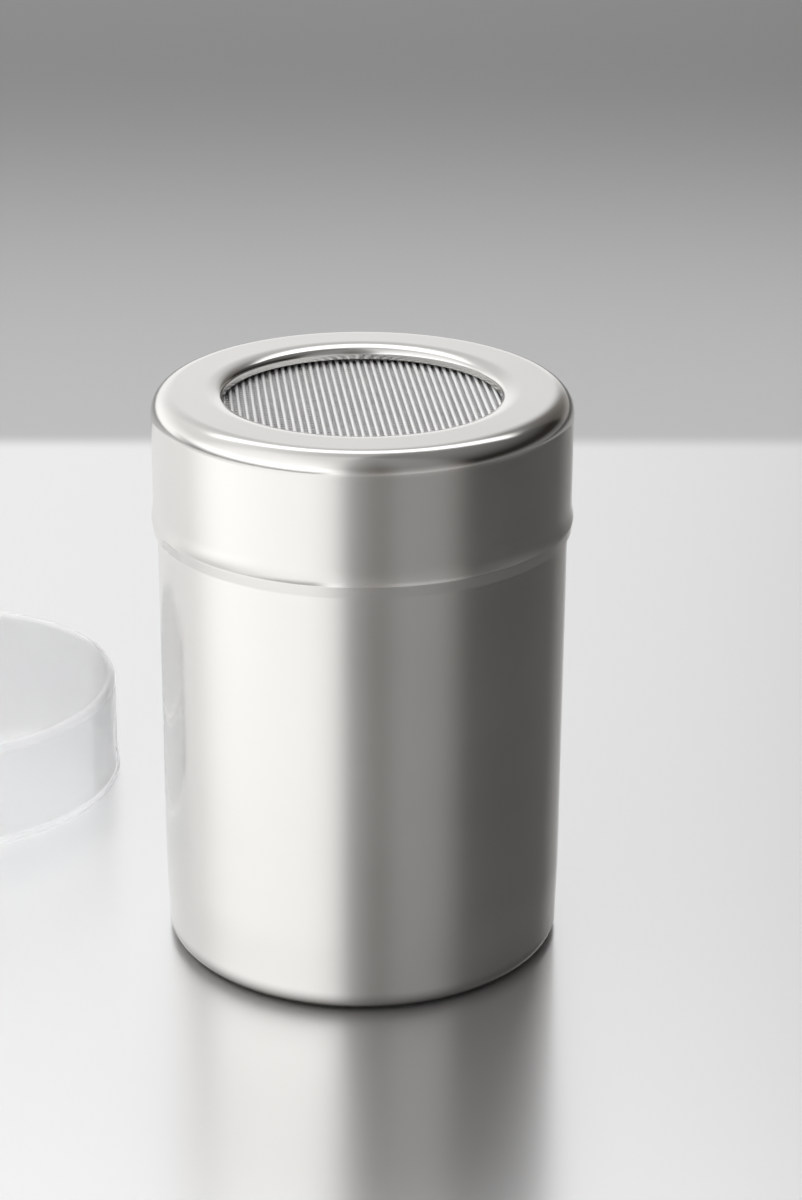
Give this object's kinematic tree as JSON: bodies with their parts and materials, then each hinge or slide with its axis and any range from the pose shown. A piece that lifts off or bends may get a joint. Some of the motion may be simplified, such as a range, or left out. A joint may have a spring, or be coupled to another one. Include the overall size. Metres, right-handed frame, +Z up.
{
  "type": "sugar caster",
  "caption": "Round steel shaker for fine sugar: a straight drawn cup, a push-on lid with a woven wire mesh in its mouth, and a translucent cap lying beside it.",
  "frame": {"origin": "middle of the cup's flat base, on the table", "axes": "+Z up the cup's axis, +Y away from the viewer of the picture, +X to the viewer's right"},
  "size_m": [0.1589, 0.1334, 0.1003],
  "materials": {
    "cup_steel": "polished, slightly satin",
    "lid_steel": "polished, slightly satin",
    "wire_steel": "drawn wire",
    "ring_steel": "satin",
    "cap_plastic": "translucent, slightly milky"
  },
  "bodies": {
    "cup": {"cup": "cup_steel"},
    "lid": {"lid_shell": "lid_steel", "mesh_warp_wires": "wire_steel", "mesh_weft_wires": "wire_steel", "mesh_ring": "ring_steel"},
    "cap": {"clear_cap": "cap_plastic"}
  },
  "joints": [
    {"name": "lid_pull", "type": "slide", "parent": "cup", "child": "lid", "axis": [0, 0, 1], "range_m": [0, 0.045]},
    {"name": "cap_lift", "type": "slide", "parent": "cup", "child": "cap", "axis": [0, 0, 1], "range_m": [0, 0.12]}
  ]
}
